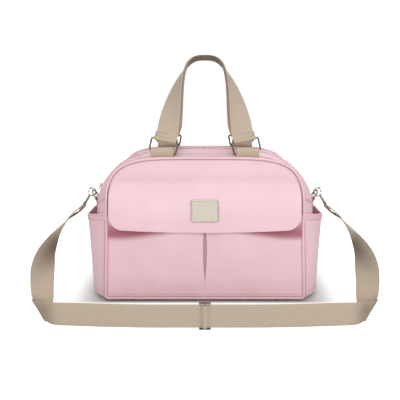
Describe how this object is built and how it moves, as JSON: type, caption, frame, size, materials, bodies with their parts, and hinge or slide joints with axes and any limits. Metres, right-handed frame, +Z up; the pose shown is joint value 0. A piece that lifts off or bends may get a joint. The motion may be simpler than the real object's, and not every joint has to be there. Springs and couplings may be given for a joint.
{
  "type": "baby changing bag",
  "caption": "Soft baby changing bag with a zipped rounded top, flapped front pockets, side bottle pockets, twisted webbing handles on metal rings and a clip-on shoulder strap.",
  "frame": {"origin": "on the floor under the middle of the bag's own width and depth, leaving out the loose shoulder strap", "axes": "+Z up, the flapped front faces -Y, +X to the right of the bag as seen from the front is the viewer's right"},
  "size_m": [0.584, 0.3008, 0.4174],
  "materials": {
    "leatherette": "soft-grained matte",
    "leatherette_trim": "soft-grained matte",
    "webbing": "ribbed weave",
    "zip_tape": "woven",
    "zip_teeth": "satin",
    "lining": "smooth weave",
    "board": "matte",
    "plate": "satin",
    "nickel": "bright nickel plate"
  },
  "bodies": {
    "bag": {"front_panel": "leatherette", "back_panel": "leatherette", "front_piping": "leatherette_trim", "back_piping": "leatherette_trim", "gusset_left": "leatherette", "gusset_right": "leatherette", "bottom_panel": "leatherette_trim", "base_board": "board", "base_feet": "nickel", "lining": "lining", "zip_panel_front": "leatherette", "zip_panel_back": "leatherette", "zip_tape_left": "zip_tape", "zip_tape_right": "zip_tape", "zip_teeth_left": "zip_teeth", "zip_teeth_right": "zip_teeth", "front_pocket_left": "leatherette", "front_pocket_right": "leatherette", "pocket_pleat": "leatherette_trim", "snap_sockets": "nickel", "side_pocket_left": "leatherette", "side_pocket_right": "leatherette", "side_hem_left": "leatherette_trim", "side_hem_right": "leatherette_trim", "handle_tab_front_left": "webbing", "handle_tab_front_right": "webbing", "handle_tab_back_left": "webbing", "handle_tab_back_right": "webbing", "ring_tab_left": "leatherette", "ring_tab_right": "leatherette", "d_ring_left": "nickel", "d_ring_right": "nickel"},
    "zip_leaf_front": {"zip_flap_front": "leatherette", "zip_tape_front": "zip_tape", "zip_teeth_front": "zip_teeth"},
    "zip_leaf_back": {"zip_flap_back": "leatherette", "zip_tape_back": "zip_tape", "zip_teeth_back": "zip_teeth"},
    "pocket_flap": {"pocket_flap": "leatherette", "flap_snaps": "nickel", "name_plate": "plate"},
    "handle_front": {"handle_front": "webbing", "handle_ring_front_left": "nickel", "handle_ring_front_right": "nickel"},
    "handle_back": {"handle_back": "webbing", "handle_ring_back_left": "nickel", "handle_ring_back_right": "nickel"},
    "zip_slider": {"zip_slider": "nickel"},
    "zip_puller": {"zip_puller": "nickel"},
    "strap": {"shoulder_strap": "webbing", "strap_hook_left": "nickel", "strap_hook_right": "nickel", "hook_swivel_left": "nickel", "hook_swivel_right": "nickel"},
    "strap_adjuster": {"strap_adjuster": "nickel"},
    "hook_gate_left": {"hook_gate_left": "nickel"},
    "hook_gate_right": {"hook_gate_right": "nickel"}
  },
  "joints": [
    {"name": "flap_hinge", "type": "hinge", "parent": "bag", "child": "pocket_flap", "pos_m": [0, -0.07773, 0.206], "axis": [-1, 0, 0], "range_deg": [0, 90]},
    {"name": "zip_leaf_front_hinge", "type": "hinge", "parent": "bag", "child": "zip_leaf_front", "pos_m": [0, -0.05061, 0.25055], "axis": [1, 0, 0], "range_deg": [0, 70]},
    {"name": "zip_leaf_back_hinge", "type": "hinge", "parent": "bag", "child": "zip_leaf_back", "pos_m": [0, 0.06539, 0.25055], "axis": [-1, 0, 0], "range_deg": [0, 70]},
    {"name": "handle_front_swing", "type": "hinge", "parent": "bag", "child": "handle_front", "pos_m": [0, -0.06161, 0.25642], "axis": [1, 0, 0], "range_deg": [0, 105]},
    {"name": "handle_back_swing", "type": "hinge", "parent": "bag", "child": "handle_back", "pos_m": [0, 0.07639, 0.25642], "axis": [-1, 0, 0], "range_deg": [0, 105]},
    {"name": "zip_run", "type": "hinge", "parent": "bag", "child": "zip_slider", "pos_m": [-0.09287, 0.00739, 0.14567], "axis": [0, 1, 0], "range_deg": [0, 48]},
    {"name": "puller_swing", "type": "hinge", "parent": "zip_slider", "child": "zip_puller", "pos_m": [-0.1875, 0.00739, 0.18874], "axis": [0, 1, 0], "range_deg": [0, 110]},
    {"name": "strap_swing", "type": "hinge", "parent": "bag", "child": "strap", "pos_m": [0, 0.00739, 0.1778], "axis": [-1, 0, 0], "range_deg": [0, 35]},
    {"name": "adjuster_slide", "type": "slide", "parent": "strap", "child": "strap_adjuster", "axis": [1, 0, 0], "range_m": [-0.05, 0.05]},
    {"name": "gate_left_press", "type": "hinge", "parent": "strap", "child": "hook_gate_left", "pos_m": [-0.21253, 0.00739, 0.17176], "axis": [0, 1, 0], "range_deg": [0, 20], "stiffness_Nm_per_rad": 0.002, "springref_deg": -17.19},
    {"name": "gate_right_press", "type": "hinge", "parent": "strap", "child": "hook_gate_right", "pos_m": [0.21253, 0.00739, 0.17176], "axis": [0, -1, 0], "range_deg": [0, 20], "stiffness_Nm_per_rad": 0.002, "springref_deg": -17.19}
  ]
}
